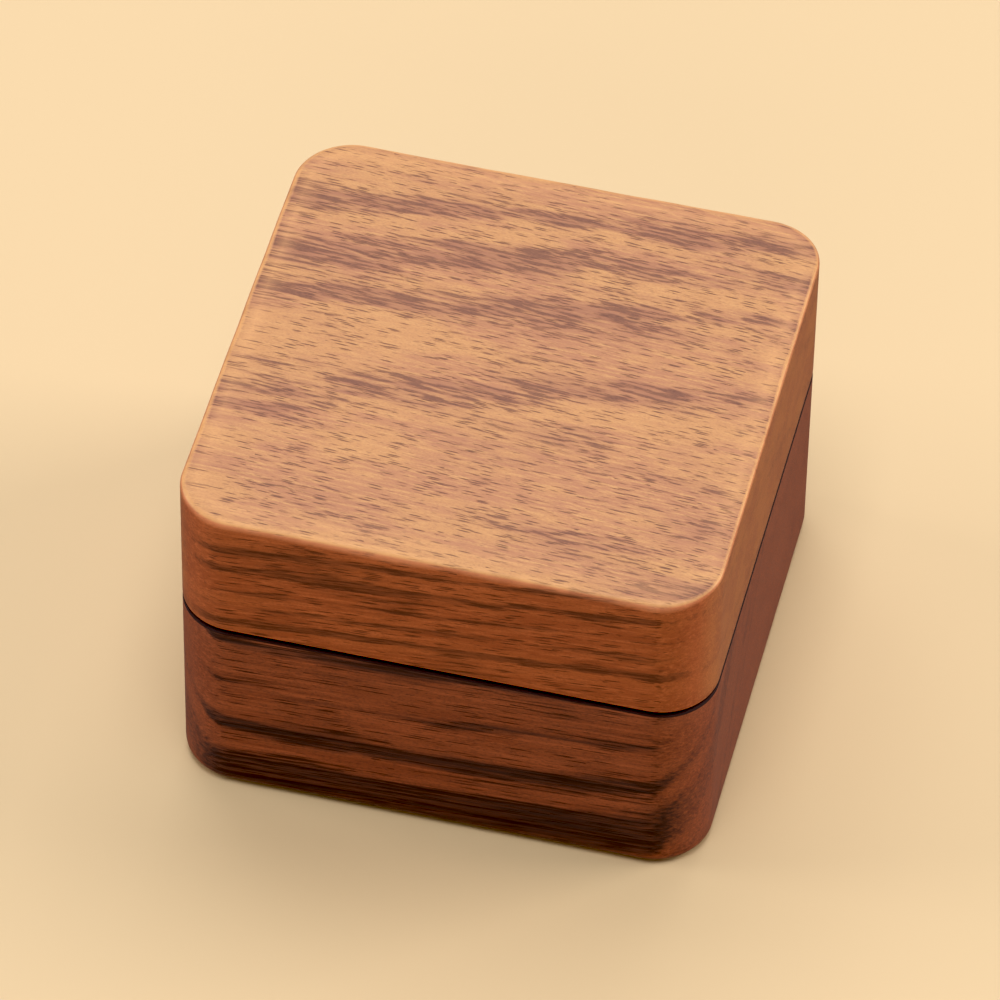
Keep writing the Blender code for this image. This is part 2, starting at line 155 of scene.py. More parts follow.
def build_world():
    world = bpy.data.worlds.new("studio")
    world.use_nodes = True
    background = world.node_tree.nodes["Background"]
    background.inputs["Color"].default_value = (*WORLD_COLOR, 1)
    background.inputs["Strength"].default_value = WORLD_STRENGTH
    bpy.context.scene.world = world
    view = bpy.context.scene.view_settings
    view.view_transform = "Standard"
    view.use_curve_mapping = True
    view.curve_mapping.black_level = (BLACK_LEVEL, BLACK_LEVEL, BLACK_LEVEL)
    view.curve_mapping.update()


def build_floor():
    half = FLOOR_SIZE / 2
    floor = make_object(
        "floor", [(-half, -half, 0), (half, -half, 0), (half, half, 0), (-half, half, 0)], [(0, 1, 2, 3)]
    )
    shader = Shader("floor_paper")
    shader.set("Base Color", (*FLOOR_COLOR, 1))
    shader.set("Roughness", FLOOR_ROUGHNESS)
    shader.set("Specular IOR Level", FLOOR_SPECULAR)
    floor.data.materials.append(shader.material)
    floor.visible_glossy = False


# ---------------------------------------------------------------- shader nodes

class Shader:
    """A node material with short names for the nodes that the finishes here are built from."""

    def __init__(self, name):
        self.material = bpy.data.materials.new(name)
        self.material.use_nodes = True
        self.tree = self.material.node_tree
        self.principled = self.tree.nodes["Principled BSDF"]

    def feed(self, socket, source):
        if isinstance(source, bpy.types.NodeSocket):
            self.tree.links.new(source, socket)
        else:
            socket.default_value = source

    def set(self, name, source):
        self.feed(self.principled.inputs[name], source)

    def node(self, kind, inputs, **settings):
        """A new node with its settings, whose inputs are given by name or number."""
        new = self.tree.nodes.new(kind)
        for name, value in settings.items():
            setattr(new, name, value)
        for key, source in inputs.items():
            self.feed(new.inputs[key], source)
        return new

    def math(self, operation, a, b=0.0, c=0.0, clamp=False):
        inputs = {0: a, 1: b, 2: c}
        return self.node("ShaderNodeMath", inputs, operation=operation, use_clamp=clamp).outputs[0]

    def vector(self, operation, a, b=(0, 0, 0)):
        return self.node("ShaderNodeVectorMath", {0: a, 1: b}, operation=operation).outputs[0]

    def coordinates(self):
        """Places on the piece, in millimetres."""
        place = self.tree.nodes.new("ShaderNodeTexCoord").outputs["Object"]
        return self.vector("MULTIPLY", place, (1 / MM, 1 / MM, 1 / MM))

    def split(self, vector):
        return self.node("ShaderNodeSeparateXYZ", {0: vector}).outputs

    def noise(self, place, scale, detail=2.0, roughness=0.5, distortion=0.0):
        """Noise around 0.5 whose features are about 1 / scale long; scale may differ by axis."""
        if not isinstance(scale, (int, float)):
            place = self.vector("MULTIPLY", place, scale)
            scale = 1.0
        return self.node(
            "ShaderNodeTexNoise",
            {"Vector": place, "Scale": scale, "Detail": detail, "Roughness": roughness,
             "Distortion": distortion},
        ).outputs["Fac"]

    def cells(self, place, scale):
        """A Voronoi texture's distance to the nearest cell centre, and that cell's random colour."""
        place = self.vector("MULTIPLY", place, scale)
        new = self.node("ShaderNodeTexVoronoi", {"Vector": place, "Scale": 1.0, "Randomness": 1.0})
        return new.outputs["Distance"], new.outputs["Color"]

    def remap(self, source, low, high, to_low=0.0, to_high=1.0, smooth=True):
        return self.node(
            "ShaderNodeMapRange",
            {"Value": source, "From Min": low, "From Max": high, "To Min": to_low, "To Max": to_high},
            interpolation_type="SMOOTHSTEP" if smooth else "LINEAR", clamp=True,
        ).outputs["Result"]

    def ramp(self, source, stops):
        """A smooth grey ramp through (position, value) stops."""
        new = self.node("ShaderNodeValToRGB", {0: source})
        ramp = new.color_ramp
        ramp.interpolation = "EASE"
        while len(ramp.elements) < len(stops):
            ramp.elements.new(1.0)
        for element, (position, value) in zip(ramp.elements, stops):
            element.position = position
            element.color = (value, value, value, 1)
        return new.outputs["Color"]

    def mix(self, amount, a, b):
        new = self.tree.nodes.new("ShaderNodeMix")
        new.data_type = "RGBA"
        a = (*a, 1) if isinstance(a, tuple) and len(a) == 3 else a
        b = (*b, 1) if isinstance(b, tuple) and len(b) == 3 else b
        self.feed(new.inputs["Factor"], amount)
        self.feed(new.inputs[6], a)
        self.feed(new.inputs[7], b)
        return new.outputs[2]

    def attribute(self, name):
        return self.node("ShaderNodeAttribute", {}, attribute_name=name).outputs["Fac"]

    def bump(self, height, depth):
        """Relief whose height runs from 0 to depth millimetres."""
        new = self.node("ShaderNodeBump", {"Height": height, "Distance": depth * MM, "Strength": 1.0})
        self.set("Normal", new.outputs["Normal"])


# ---------------------------------------------------------------- meshes

def make_object(name, vertices, faces, body=None, slot=None):
    mesh = bpy.data.meshes.new(name)
    mesh.from_pydata([Vector(v) * MM for v in vertices], [], faces)
    mesh.update()
    obj = bpy.data.objects.new(name, mesh)
    bpy.context.scene.collection.objects.link(obj)
    if body:
        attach(obj, body)
    return obj


def rounded_outline(half_x, half_y, radii):
    """Points of a rectangle with round corners, anticlockwise from its right side, and their outward normals.

    radii belong to the back right, back left, front left and front right corners.
    """
    points = []
    for quarter in range(4):
        turn = Matrix.Rotation(quarter * math.pi / 2, 2)
        forward, sideways = (half_x, half_y) if quarter % 2 == 0 else (half_y, half_x)
        radius, last_radius = radii[quarter], radii[quarter - 1]
        for i in range(SIDE_SEGMENTS):
            share = i / SIDE_SEGMENTS
            along = (last_radius - sideways) * (1 - share) + (sideways - radius) * share
            points.append((turn @ Vector((forward, along)), turn @ Vector((1.0, 0.0))))
        centre = Vector((forward - radius, sideways - radius))
        for i in range(CORNER_SEGMENTS):
            angle = math.pi / 2 * i / CORNER_SEGMENTS
            normal = Vector((math.cos(angle), math.sin(angle)))
            points.append((turn @ (centre + radius * normal), turn @ normal))
    return points


def rounded_square(half, radius):
    return rounded_outline(half, half, (radius,) * 4)


def skin(loops):
    """Joins closed loops of points with quads, and fans the first and the last loop to their centres."""
    count = len(loops[0])
    vertices = [p for loop in loops for p in loop]
    faces = []
    for row in range(len(loops) - 1):
        for i in range(count):
            j = (i + 1) % count
            faces.append((row * count + i, row * count + j, (row + 1) * count + j, (row + 1) * count + i))
    for row, flip in ((0, True), (len(loops) - 1, False)):
        vertices.append(sum((Vector(p) for p in loops[row]), Vector((0, 0, 0))) / count)
        for i in range(count):
            ends = (row * count + i, row * count + (i + 1) % count)
            faces.append((*(reversed(ends) if flip else ends), len(vertices) - 1))
    return vertices, faces


def by_side(normal, right, back, left, front):
    """A value for each side of the box, blended smoothly round its corners."""
    nx, ny = normal
    return (
        right * max(nx, 0.0) ** 2 + left * max(-nx, 0.0) ** 2
        + back * max(ny, 0.0) ** 2 + front * max(-ny, 0.0) ** 2
    )


# ---------------------------------------------------------------- wooden shells

RIM_ROUND = 0.25
BASE_RIM_ROUND = 0.45
BASE_FOOT_ROUND = 1.5
TOP_ROUND = {"right": 0.45, "back": 0.8, "left": 0.7, "front": 0.95}
TOP_ROUND_VARIATION = 0.3
TOP_ROUND_PACE = 0.16
CROWN_DROP = {"right": 0.06, "back": 0.15, "left": 0.15, "front": 0.42}
CROWN_REACH = 5.6
CROWN_SHARES = (0.2, 0.4, 0.6, 0.8, 1.0)
TOP_SHRINKS = (0.85, 0.65, 0.45, 0.25, 0.1)
FLAT_SHRINKS = (0.9, 0.6, 0.3)
LID_SIDE_DROP = 2.0
LID_SIDE_LOOPS = 6
BASE_SIDE_LOOPS = 8
LIP_CREST = 0.6
FOOT_CREST = 0.4
METAL_GAP = 0.15
LEAF_THICKNESS = 0.8
COVE_GAP = 0.3
KNUCKLE_RADIUS = 1.25
PILOT_RADIUS = 0.7
CUT_MARGIN = 1.0
ROUND_SIDES = 48
SHARP_ANGLE = math.radians(35)


def ring(outline, inset, height, crest=0.0):
    """A loop round the box, some way in from an outline, with how near it is to an edge's crest."""
    points = []
    for place, normal in outline:
        x, y = place - normal * (inset(place, normal) if callable(inset) else inset)
        points.append((x, y, height(place, normal) if callable(height) else height))
    return points, crest


def shrunk(loop, factors):
    """Flat loops inside a loop, so that a wide face isn't one fan of long triangles."""
    points, crest = loop
    return [([(x * f, y * f, z) for x, y, z in points], crest) for f in factors]


def arc(outline, radius, level, outward, crest=1.0):
    """Loops round a quarter-round edge, from the upright side to the flat end at that level.

    outward is 1 where the end faces up and -1 where it faces down.
    """
    loops = []
    for k in range(ARC_SEGMENTS + 1):
        angle = math.pi / 2 * k / ARC_SEGMENTS

        def inset(place, normal, turn=1 - math.cos(angle)):
            return turn * (radius(place, normal) if callable(radius) else radius)

        def height(place, normal, turn=1 - math.sin(angle)):
            own_level = level(place, normal) if callable(level) else level
            return own_level - outward * turn * (radius(place, normal) if callable(radius) else radius)

        loops.append(ring(outline, inset, height, crest * math.sin(2 * angle)))
    return loops


def pocket_loops(rim, floor, up):
    """The milled pocket, from its rim to the middle of its floor; up is 1 for the base and -1 for the lid."""
    outline = rounded_square(HALF - WALL, POCKET_RADIUS)
    loops = [
        ring(outline, -LIP_CHAMFER, rim, LIP_CREST),
        ring(outline, 0.0, rim - up * LIP_CHAMFER, LIP_CREST),
        ring(outline, 0.0, rim - up * 2 * LIP_CHAMFER),
        ring(outline, 0.0, (rim + floor) / 2),
    ]
    foot = arc(outline, POCKET_FLOOR_ROUND, floor, -up, 0.0)
    return loops + foot + shrunk(foot[-1], FLAT_SHRINKS)


def top_round(place, normal):
    uneven = noise.noise(Vector((place.x * TOP_ROUND_PACE, place.y * TOP_ROUND_PACE, 3.0)))
    return by_side(normal, **TOP_ROUND) * (1 + TOP_ROUND_VARIATION * uneven)


def edge_level(place, normal):
    return TOP - by_side(normal, **CROWN_DROP)


def crown_loops(outline):
    """The lid's top, which falls a little towards its edges."""
    loops = []
    for share in CROWN_SHARES:

        def inset(place, normal, share=share):
            start = top_round(place, normal)
            return start + (CROWN_REACH - start) * share

        def height(place, normal, share=share):
            return TOP - by_side(normal, **CROWN_DROP) * (1 - share) ** 2

        # The crown's outer loops carry some crest, so the painted highlight along the top edges spills onto
        # the falling top
        loops.append(ring(outline, inset, height, max(0.0, 0.5 - share)))
    return loops + shrunk(loops[-1], TOP_SHRINKS)


def lid_loops():
    outline = rounded_square(HALF, CORNER_RADIUS)
    under = arc(outline, RIM_ROUND, RIM, -1)
    low, rise = RIM + RIM_ROUND, TOP - LID_SIDE_DROP - RIM - RIM_ROUND
    side = [ring(outline, 0.0, low + rise * k / LID_SIDE_LOOPS) for k in range(1, LID_SIDE_LOOPS + 1)]
    outside = list(reversed(under)) + side + arc(outline, top_round, edge_level, 1) + crown_loops(outline)
    return list(reversed(pocket_loops(RIM, TOP - LID_ROOF, -1))) + outside


def base_loops():
    outline = rounded_square(HALF, CORNER_RADIUS)
    foot = arc(outline, BASE_FOOT_ROUND, 0.0, -1, FOOT_CREST)
    rim = arc(outline, BASE_RIM_ROUND, SEAM, 1)
    low, rise = BASE_FOOT_ROUND, SEAM - BASE_RIM_ROUND - BASE_FOOT_ROUND
    side = [ring(outline, 0.0, low + rise * k / BASE_SIDE_LOOPS) for k in range(1, BASE_SIDE_LOOPS)]
    bottom = list(reversed(shrunk(foot[-1], FLAT_SHRINKS)))
    return bottom + list(reversed(foot)) + side + rim + pocket_loops(SEAM, BASE_FLOOR, 1)


def shell_mesh(name, loops, body):
    """A shell whose points carry how near they are to an edge's crest; the two last close its ends."""
    vertices, faces = skin([points for points, crest in loops])
    obj = make_object(name, vertices, faces, body, "walnut_" + body.split("_")[0])
    crest = obj.data.attributes.new("crest", "FLOAT", "POINT")
    values = [value for points, value in loops for point in points] + [0.0, 0.0]
    crest.data.foreach_set("value", values)
    return obj


def block_cutter(low, high):
    x0, y0, z0 = low
    x1, y1, z1 = high
    corners_of = [(x, y, z) for z in (z0, z1) for x, y in ((x0, y0), (x1, y0), (x1, y1), (x0, y1))]
    sides = [(0, 1, 5, 4), (1, 2, 6, 5), (2, 3, 7, 6), (3, 0, 4, 7)]
    return make_object("cutter", corners_of, [(3, 2, 1, 0), (4, 5, 6, 7), *sides])


def rod(name, start, end, radius):
    """A plain round bar between two points, for cutting and joining."""
    start, end = Vector(start), Vector(end)
    along = end - start
    turn = Vector((0, 0, 1)).rotation_difference(along).to_matrix()
    points = []
    for centre in (start, end):
        for i in range(ROUND_SIDES):
            angle = 2 * math.pi * i / ROUND_SIDES
            points.append(centre + turn @ Vector((math.cos(angle), math.sin(angle), 0)) * radius)
    sides = [
        (i, (i + 1) % ROUND_SIDES, ROUND_SIDES + (i + 1) % ROUND_SIDES, ROUND_SIDES + i)
        for i in range(ROUND_SIDES)
    ]
    ends = [tuple(reversed(range(ROUND_SIDES))), tuple(range(ROUND_SIDES, 2 * ROUND_SIDES))]
    return make_object(name, points, sides + ends)


def combine(obj, others, operation="DIFFERENCE"):
    """Cuts the others away from obj, or joins them to it, and leaves one plain mesh."""
    for other in others:
        modifier = obj.modifiers.new("combine", "BOOLEAN")
        modifier.operation = operation
        modifier.solver = "EXACT"
        modifier.object = other
    apply_modifiers(obj)
    for other in others:
        bpy.data.objects.remove(other)


def apply_modifiers(obj):
    graph = bpy.context.evaluated_depsgraph_get()
    mesh = bpy.data.meshes.new_from_object(obj.evaluated_get(graph))
    obj.modifiers.clear()
    obj.data = mesh


def smooth(obj):
    obj.data.shade_smooth()
    obj.data.set_sharp_from_angle(angle=SHARP_ANGLE)


def hinge_axis():
    return Vector(frame["joints"][0]["pos_m"]) / MM


def leaf_bed(node, rim, into_wood):
    """The mortise for a hinge leaf, open to the seam and to the pocket."""
    low, high = corners(node)
    levels = sorted((rim - into_wood * CUT_MARGIN, rim + into_wood * (LEAF_THICKNESS + METAL_GAP)))
    return block_cutter(
        (low.x - METAL_GAP, HALF - WALL - CUT_MARGIN, levels[0]),
        (high.x + METAL_GAP, hinge_axis().y, levels[1]),
    )


def blind_hole(node, radius, margin_low, margin_high):
    """A hole round an upright CAD piece, longer than it by a margin at each end."""
    low, high = corners(node)
    x, y = (low.x + high.x) / 2, (low.y + high.y) / 2
    return rod("cutter", (x, y, low.z - margin_low), (x, y, high.z + margin_high), radius)


def cut_shell(shell, rim, into_wood, level):
    """Cuts the hinge's mortise, cove and pilot holes and the magnets' holes."""
    axis = hinge_axis()
    pin_low, pin_high = corners("hinge_pin")
    inward, outward = METAL_GAP, CUT_MARGIN
    margins = (inward, outward) if into_wood < 0 else (outward, inward)
    cutters = [
        leaf_bed(f"hinge_leaf_{level}", rim, into_wood),
        rod(
            "cutter", (pin_low.x - METAL_GAP, axis.y, axis.z), (pin_high.x + METAL_GAP, axis.y, axis.z),
            KNUCKLE_RADIUS + COVE_GAP,
        ),
    ]
    for side in ("left", "right"):
        magnet = f"{shell.name.split('_')[0]}_magnet_{side}"
        low, high = corners(magnet)
        cutters.append(blind_hole(magnet, (high.x - low.x) / 2 + METAL_GAP, *margins))
        cutters.append(blind_hole(f"hinge_screw_{level}_{side}", PILOT_RADIUS, *margins))
    combine(shell, cutters)
    smooth(shell)


def build_shells():
    base = shell_mesh("base_shell", base_loops(), "base_body")
    cut_shell(base, SEAM, -1, "lower")
    base.data.materials.append(base_walnut())
    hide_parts("base")
    lid = shell_mesh("lid_shell", lid_loops(), "lid_body")
    cut_shell(lid, RIM, 1, "upper")
    lid.data.materials.append(lid_walnut())
    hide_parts("lid")


# ---------------------------------------------------------------- walnut

# Each wood's tones: pale fibres, two plain tones, dark figure, pores, and edges that are worn and carry a
# painted highlight
# The lid's side and top tones are lit and shaded copies of one wood: the sides' darker, redder tones are
# painted shade, and the top's paler ones are a painted lit sheen
LID_SHADED_SIDE_TONES = {
    "pale": (0.49, 0.162, 0.088), "ground": (0.39, 0.129, 0.073), "rust": (0.34, 0.109, 0.067),
    "shade": (0.185, 0.076, 0.060), "ink": (0.095, 0.048, 0.048), "worn_highlight": (0.62, 0.270, 0.150),
}
LID_LIT_TOP_TONES = {
    "pale": (0.505, 0.284, 0.137), "ground": (0.455, 0.242, 0.117), "rust": (0.375, 0.180, 0.107),
    "shade": (0.290, 0.133, 0.090), "ink": (0.105, 0.052, 0.052), "worn_highlight": (0.72, 0.41, 0.20),
}
BASE_TONES = {
    "pale": (0.385, 0.130, 0.084), "ground": (0.268, 0.096, 0.070), "rust": (0.250, 0.088, 0.066),
    "shade": (0.063, 0.049, 0.061), "ink": (0.042, 0.033, 0.042), "worn_highlight": (0.42, 0.18, 0.12),
}

# How far the fibres climb and drift, in degrees
LID_GRAIN = (5.0, 3.4)
BASE_GRAIN = (2.5, 0.0)

# The lid's rings lie round a pith far below it. The base's are flat sheets that lean and bow a little.
PITH_Y = -30.0
PITH_Z = -60.0
LEAN = 0.6
UPRIGHT = math.sqrt(1 - LEAN * LEAN)
BOW = 0.9 / 24**4

# Dark bands: the y on top or the z on the front where each one comes out, its half width, its darkness
LID_TOP_BANDS = ((21.5, 2.0, 0.8), (15.0, 3.4, 1.0), (8.5, 2.6, 0.8), (-3.7, 4.0, 0.8))
LID_FRONT_BANDS = ((36.5, 0.8, 0.7), (34.0, 0.9, 1.0), (31.0, 0.5, 0.5), (28.5, 0.6, 0.5), (26.0, 0.9, 1.0))
# The wide, extra dark band at z 2.4 is partly painted shade along the foot near the floor, and the band at z
# 22.4 is partly painted shade under the seam
BASE_FRONT_BANDS = ((22.4, 1.4, 0.6), (15.5, 1.0, 0.35), (9.5, 1.8, 0.95), (2.4, 4.8, 1.5), (-3.5, 1.4, 0.9))

# Bands behind the base's front, given by their place among the rings
BASE_INNER_BANDS = ((-20.5, 0.8, 0.35), (-17.4, 1.1, 0.53), (-14.3, 1.4, 0.71), (-11.2, 0.8, 0.89))

# How often each layer of the figure varies per millimetre, along the fibres and across them
PATCHES = (0.05, 0.25, 0.25)
GAPS = (0.1, 0.9, 0.9)
STREAKS = (0.06, 2.6, 2.6)
FIBRES = (0.08, 3.2, 3.2)
WARMTH = (0.04, 0.2, 0.3)
CLUSTERS = (0.1, 0.7, 0.7)
DASHES = (0.21, 4.5, 4.5)
DOTS = (0.5, 4.6, 4.6)
MOTTLE = (3.0, 7.0, 7.0)
WEAR_AND_HIGHLIGHT = (0.25, 0.25, 0.25)

DASH_WIDTH = 0.44
DOT_WIDTH = 0.3
DOT_SHARE = 0.4
PORE_CORE = 0.45
WOOD_ROUGHNESS = 0.36
WOOD_SPECULAR = 0.3
WOOD_RELIEF = 0.02
# How far below the seam the painted shade on the rim reaches, and where it is full
SEAM_SHADE_REACH = 0.8
SEAM_SHADE_FULL = 0.5


def grain_place(shader, rise, drift):
    """Places turned so that X runs along the fibres, which climb by rise and drift by drift degrees."""
    return shader.node(
        "ShaderNodeMapping",
        {"Vector": shader.coordinates(), "Rotation": (0, math.radians(rise), math.radians(drift))},
    ).outputs[0]


def ring_bands(shader, ring, bands):
    """How dark the wood is across its growth rings: a bell for each (middle, half width, darkness)."""
    low = min(middle - width for middle, width, dark in bands) - 1.0
    high = max(middle + width for middle, width, dark in bands) + 1.0
    stops = [(0.0, 0.0)]
    for middle, width, dark in sorted(bands):
        for place, value in ((middle - width, 0.0), (middle, dark), (middle + width, 0.0)):
            stops.append(((place - low) / (high - low), value))
    stops.append((1.0, 0.0))
    return shader.ramp(shader.remap(ring, low, high, smooth=False), stops)


def pores(shader, grain, scale, width, share):
    """Pores cut by the surface: long dashes along the fibres and dots across them.

    share is the part of the cells that hold a pore, and may vary over the surface.
    """
    distance, color = shader.cells(grain, scale)
    own = shader.split(color)[0]
    there = shader.math("LESS_THAN", own, share)
    shape = shader.remap(distance, width, width * PORE_CORE)
    return shader.math("MULTIPLY", shape, there)


def surface_normal(s):
    """The parts of the way the surface faces, which turns with its body."""
    return s.split(s.node("ShaderNodeTexCoord", {}).outputs["Normal"])


def end_grain_share(s):
    """1 on the sides that the fibres run into, and 0 where they run along the surface."""
    return s.remap(s.math("ABSOLUTE", surface_normal(s)[0]), 0.4, 0.9)


def length(s, a, b):
    squares = [s.math("MULTIPLY", value, value) for value in (a, b)]
    return s.math("SQRT", s.math("ADD", *squares))


def out_from_rounds(s):
    """How far out the surface lies, in mm seen from above: the corner radius on the outline itself."""
    x, y, _ = s.split(s.coordinates())
    past = [
        s.math("MAXIMUM", s.math("SUBTRACT", s.math("ABSOLUTE", value), HALF - CORNER_RADIUS), 0.0)
        for value in (x, y)
    ]
    return length(s, *past)


def off_centre(s, noise_value, amount):
    """Noise moved to lie around zero and scaled."""
    return s.math("MULTIPLY_ADD", noise_value, amount, -amount / 2)


def lid_bands():
    """The lid's dark bands by their distance from the pith."""
    bands = []
    for y, half_width, dark in LID_TOP_BANDS:
        middle = math.hypot(y - PITH_Y, TOP - PITH_Z)
        bands.append((middle, half_width * (y - PITH_Y) / middle, dark))
    for z, half_width, dark in LID_FRONT_BANDS:
        bands.append((math.hypot(-HALF - PITH_Y, z - PITH_Z), half_width, dark))
    return bands


def base_bands():
    """The base's dark bands by their place among the leaning rings."""
    front = [
        (-HALF * UPRIGHT - z * LEAN, half_width * LEAN, dark) for z, half_width, dark in BASE_FRONT_BANDS
    ]
    return front + list(BASE_INNER_BANDS)


def lid_walnut():
    """Flat-sawn on top: the rings lie nearly level there and stand one above another on the front."""
    s = Shader("walnut_lid")
    grain = grain_place(s, *LID_GRAIN)
    _, y, z = s.split(grain)
    radius = length(s, s.math("SUBTRACT", y, PITH_Y), s.math("SUBTRACT", z, PITH_Z))
    wander = off_centre(s, s.noise(grain, (0.02, 0.07, 0.1), 2.0), 2.6)
    ripple = off_centre(s, s.noise(grain, (0.1, 0.5, 0.5), 3.0), 1.2)
    ring = s.math("ADD", s.math("ADD", radius, wander), ripple)
    # Painted light: faces turned up, and the sides the fibres run into, take the paler lit tones as painted
    # sheen, while the front and back keep the darker shaded ones
    lit_upward = s.remap(surface_normal(s)[2], 0.55, 0.8)
    sheen_across_fibres = s.remap(s.math("ABSOLUTE", surface_normal(s)[0]), 0.7, 1.0, 0.0, 0.36)
    painted_light = s.math("MAXIMUM", lit_upward, sheen_across_fibres)
    palette = {role: s.mix(painted_light, tone, LID_LIT_TOP_TONES[role]) for role, tone in LID_SHADED_SIDE_TONES.items()}
    return finish_walnut(s, grain, ring_bands(s, ring, lid_bands()), palette, seed=0.0, solid=0.45)


def base_walnut():
    """Its rings stand steeply, so that the dark bands run level on the front and climb on the right side."""
    s = Shader("walnut_base")
    grain = grain_place(s, *BASE_GRAIN)
    x, y, z = s.split(grain)
    plane = s.math("ADD", s.math("MULTIPLY", y, UPRIGHT), s.math("MULTIPLY", z, -LEAN))
    wander = off_centre(s, s.noise(grain, (0.025, 0.09, 0.09), 2.0), 1.0)
    ripple = off_centre(s, s.noise(grain, (0.12, 0.6, 0.6), 3.0), 0.5)
    squared = s.math("MULTIPLY", x, x)
    bow = s.math("MULTIPLY", s.math("MULTIPLY", squared, squared), BOW)
    ring = s.math("ADD", s.math("ADD", plane, bow), s.math("ADD", wander, ripple))
    band = ring_bands(s, ring, base_bands())
    return finish_walnut(s, grain, band, BASE_TONES, seed=40.0, solid=0.8, paint_seam_shade=True)


def dark_figure(s, own, band, streaks, turned, solid):
    """The rings' dark bands, made patchy and ragged, and faint where the surface cuts the fibres across."""
    patches = s.noise(own, PATCHES, 3.0, 0.55, 0.3)
    gaps = s.remap(s.noise(own, GAPS, 3.0, 0.6), 0.35, 0.62, solid, 1.15)
    figure = s.math("MULTIPLY", band, gaps)
    figure = s.math("ADD", figure, s.math("MULTIPLY_ADD", patches, 2.1, -0.9), clamp=True)
    figure = s.math("MULTIPLY", figure, s.remap(turned, 0.1, 0.8, 1.0, 0.4))
    return s.remap(s.math("ADD", streaks, figure), 0.62, 1.35)


def plain_wood(s, own, fibres, palette):
    """Wood without its figure: slow changes between two tones, and pale fibres."""
    warmth = s.noise(own, WARMTH, 3.0, 0.6)
    color = s.mix(s.remap(warmth, 0.42, 0.58), palette["ground"], palette["rust"])
    return s.mix(s.remap(fibres, 0.42, 0.72), color, palette["pale"])


def long_marks(s, own, figure, streaks, turned):
    """Thin streaks and long pores along the fibres, more of them where the figure is dark."""
    streak = s.remap(s.math("MULTIPLY_ADD", figure, 0.15, streaks), 0.61, 0.73)
    clusters = s.noise(own, CLUSTERS, 3.0, 0.6)
    crowd = s.math("MULTIPLY_ADD", figure, 0.3, s.remap(clusters, 0.36, 0.6, 0.15, 0.75))
    dash = pores(s, own, DASHES, DASH_WIDTH, crowd)
    darkest = s.math("MAXIMUM", s.math("MULTIPLY", streak, 0.8), dash)
    return s.math("MULTIPLY", darkest, s.remap(turned, 0.1, 0.5, 1.0, 0.1))


def short_pores(s, own):
    """Short pores, which are dots on the end grain and fainter there."""
    pore = pores(s, own, DOTS, DOT_WIDTH, DOT_SHARE)
    return s.math("MULTIPLY", pore, s.remap(end_grain_share(s), 0.0, 1.0, 0.45, 0.3))


def edge_wear_and_highlight(s, crest):
    """Uneven wear along the edges' crests, lightened partly as real wear and partly as a painted highlight
    where the rounds catch the light.
    """
    worn_highlight = s.noise(s.coordinates(), WEAR_AND_HIGHLIGHT, 3.0, 0.6)
    return s.math("MULTIPLY", crest, s.remap(worn_highlight, 0.3, 0.6, 0.35, 0.75))


def painted_seam_shade(s, crest):
    """Painted shade on the outer edge of the base's rim, which makes the seam a deep dark line."""
    near_rim = s.remap(s.split(s.coordinates())[2], SEAM - SEAM_SHADE_REACH, SEAM - SEAM_SHADE_FULL)
    outside = s.remap(out_from_rounds(s), CORNER_RADIUS - 1.0, CORNER_RADIUS - 0.5)
    return s.math("MULTIPLY", s.remap(crest, 0.0, 0.5), s.math("MULTIPLY", near_rim, outside))


def finish_walnut(s, grain, band, palette, seed, solid, paint_seam_shade=False):
    """Figure, fibres, pores, end grain and worn edges with a painted highlight over the growth rings, under a
    satin oil finish, with painted shade on the base's rim below the seam when asked.

    seed gives each block its own figure, and solid is how much of a band is left where it is thinnest.
    """
    own = s.vector("ADD", grain, (seed, seed * 0.7, seed * 0.3))
    turned = s.math("ABSOLUTE", surface_normal(s)[0])
    streaks = s.noise(own, STREAKS, 4.0, 0.6)
    fibres = s.noise(own, FIBRES, 4.0, 0.65)
    figure = dark_figure(s, own, band, streaks, turned, solid)
    marks = long_marks(s, own, figure, streaks, turned)
    dots = short_pores(s, own)
    mottle = s.noise(own, MOTTLE, 2.0, 0.6)
    crest = s.attribute("crest")

    shade = s.math("MULTIPLY", figure, s.remap(fibres, 0.3, 0.7, 1.0, 0.65))
    color = s.mix(shade, plain_wood(s, own, fibres, palette), palette["shade"])
    color = s.mix(s.math("MULTIPLY", marks, 0.85), color, palette["ink"])
    color = s.mix(s.remap(mottle, 0.4, 0.8, 0.0, 0.5), color, palette["shade"])
    color = s.mix(dots, color, palette["ink"])
    # Lighter crests: partly real wear, partly a painted highlight
    color = s.mix(edge_wear_and_highlight(s, crest), color, palette["worn_highlight"])
    roughness = s.math("MULTIPLY_ADD", fibres, 0.12, WOOD_ROUGHNESS)
    roughness = s.math("MULTIPLY_ADD", marks, 0.15, roughness)
    # Painted shade: the rim's outer edge below the seam is darkened and dulled as if in the gap's shadow
    if paint_seam_shade:
        seam_shade = painted_seam_shade(s, crest)
        color = s.mix(seam_shade, color, palette["ink"])
        roughness = s.math("MULTIPLY_ADD", seam_shade, 0.5, roughness, clamp=True)
    s.set("Base Color", color)
    s.set("Roughness", roughness)
    s.set("Specular IOR Level", WOOD_SPECULAR)
    hollows = s.math("MAXIMUM", marks, dots)
    s.bump(s.math("MULTIPLY_ADD", hollows, -0.8, s.math("MULTIPLY", fibres, 0.35)), WOOD_RELIEF)
    return s.material


# ---------------------------------------------------------------- metal fittings

